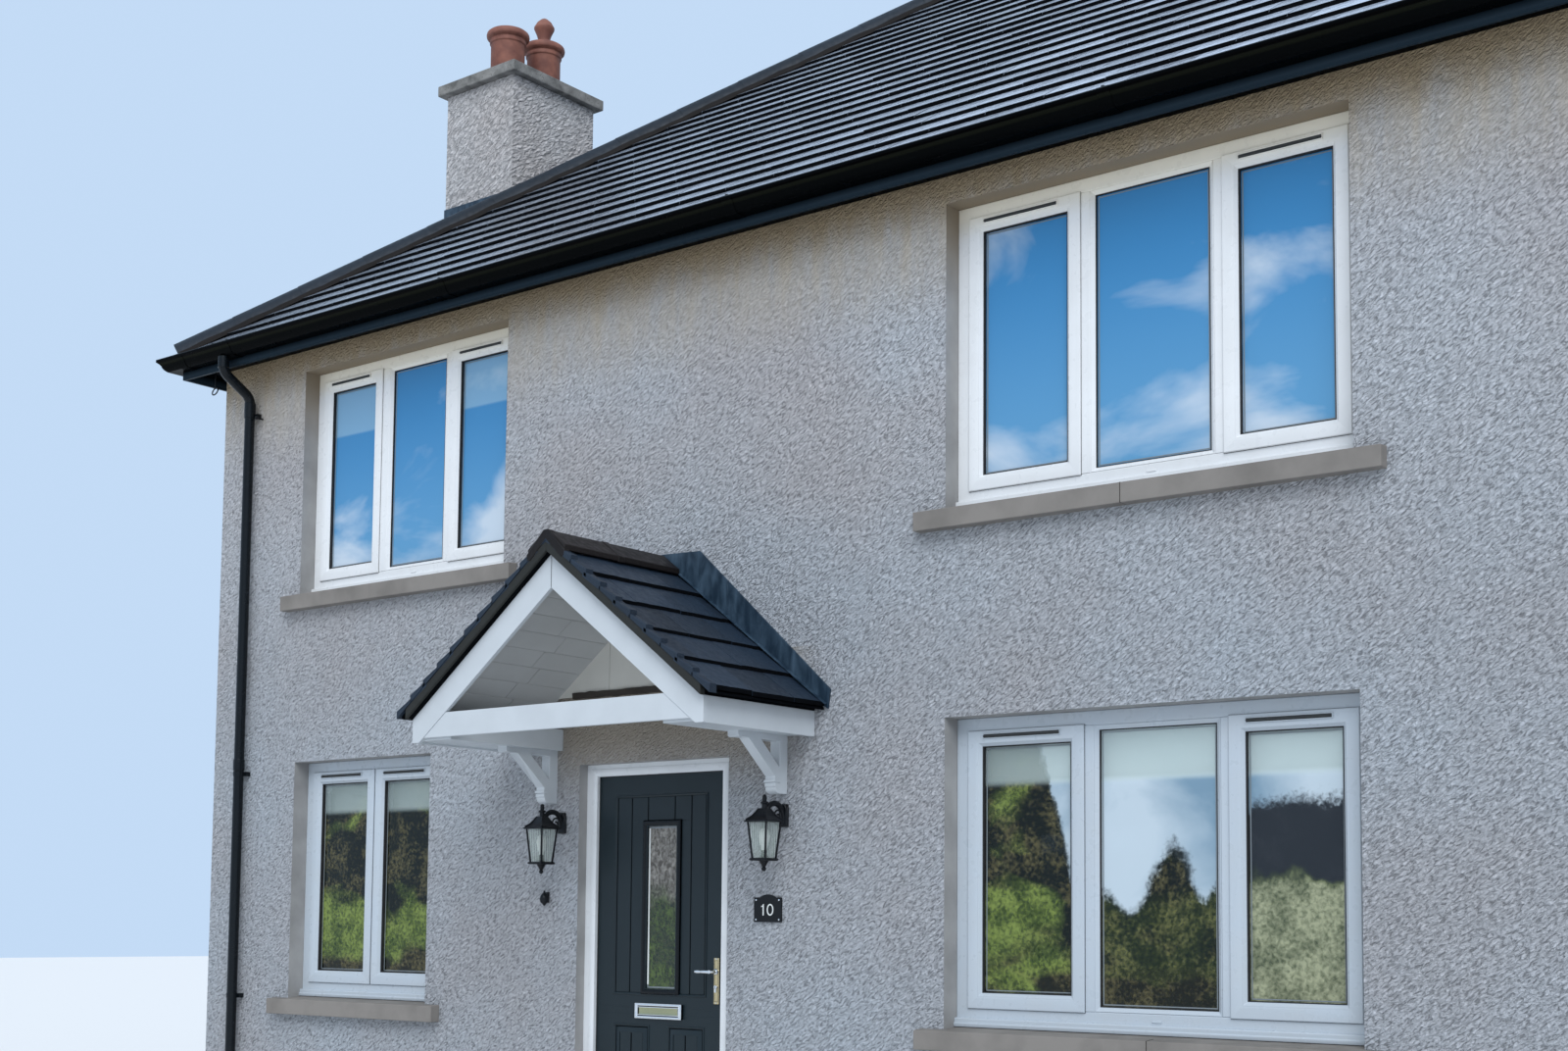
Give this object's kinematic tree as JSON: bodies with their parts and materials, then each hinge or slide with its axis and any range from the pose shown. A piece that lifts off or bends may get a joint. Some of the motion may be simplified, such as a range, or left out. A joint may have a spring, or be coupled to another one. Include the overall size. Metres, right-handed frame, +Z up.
{
  "type": "detached house",
  "caption": "Two-storey detached house with roughcast walls, hipped slate roof, chimney and gabled door canopy.",
  "frame": {"origin": "on the ground, at the middle of the box round the whole house", "axes": "+X along the front wall to the right as seen from outside, +Y from the front wall into the house, +Z up"},
  "size_m": [9.212, 8.544, 7.9949],
  "materials": {
    "render": "rough",
    "smooth_stone": "smooth painted",
    "floor_boards": "matt",
    "slate": "riven",
    "lead": "dull grey",
    "clay": "unglazed",
    "dark_plastic": "satin anthracite",
    "white_plastic": "white gloss",
    "glass": "clear",
    "door_paint": "satin anthracite",
    "chrome": "polished",
    "brass": "satin",
    "black_metal": "satin black"
  },
  "bodies": {
    "house": {"front_wall_left": "render", "front_wall_right": "render", "front_wall_over_door": "render", "left_wall": "render", "right_wall": "render", "rear_wall": "render", "ground_floor": "smooth_stone", "first_floor": "floor_boards", "roof_front": "slate", "roof_rear": "slate", "roof_hip_ends": "slate", "hip_and_ridge_tiles": "slate", "eaves_boards": "dark_plastic", "long_gutters": "dark_plastic", "side_gutters": "dark_plastic", "downpipes": "dark_plastic", "chimney_stack": "render", "chimney_cap": "smooth_stone", "chimney_flashing": "lead", "chimney_pots": "clay", "upper_windows": "white_plastic", "lower_windows": "white_plastic", "rear_windows": "white_plastic", "side_windows": "white_plastic", "window_glass": "glass", "window_sills": "smooth_stone", "door_frame": "white_plastic", "door_threshold": "chrome", "canopy_slates": "slate", "canopy_ridge": "slate", "canopy_flashing": "lead", "barge_boards": "white_plastic", "canopy_beams": "white_plastic", "canopy_lining": "white_plastic", "canopy_brackets": "white_plastic", "wall_lanterns": "black_metal", "lantern_glass": "glass", "number_plate": "slate"},
    "door": {"door_leaf": "door_paint", "letter_rail": "door_paint", "door_glass": "glass", "letter_plate": "chrome", "handle_plates": "brass"},
    "flap": {"letter_flap": "brass"},
    "handle": {"handle_lever": "chrome"}
  },
  "joints": [
    {"name": "front_door", "type": "hinge", "parent": "house", "child": "door", "pos_m": [-1.136, -3.294, 1.2], "axis": [0, 0, 1], "range_deg": [0, 90]},
    {"name": "door_lever", "type": "hinge", "parent": "door", "child": "handle", "pos_m": [-0.324, -3.351, 1.213], "axis": [0, -1, 0], "range_deg": [0, 40], "stiffness_Nm_per_rad": 1.5, "springref_deg": -34.38},
    {"name": "letter_flap", "type": "hinge", "parent": "door", "child": "flap", "pos_m": [-0.696, -3.3625, 1.028], "axis": [-1, 0, 0], "range_deg": [0, 80], "stiffness_Nm_per_rad": 0.1, "springref_deg": -28.65}
  ]
}
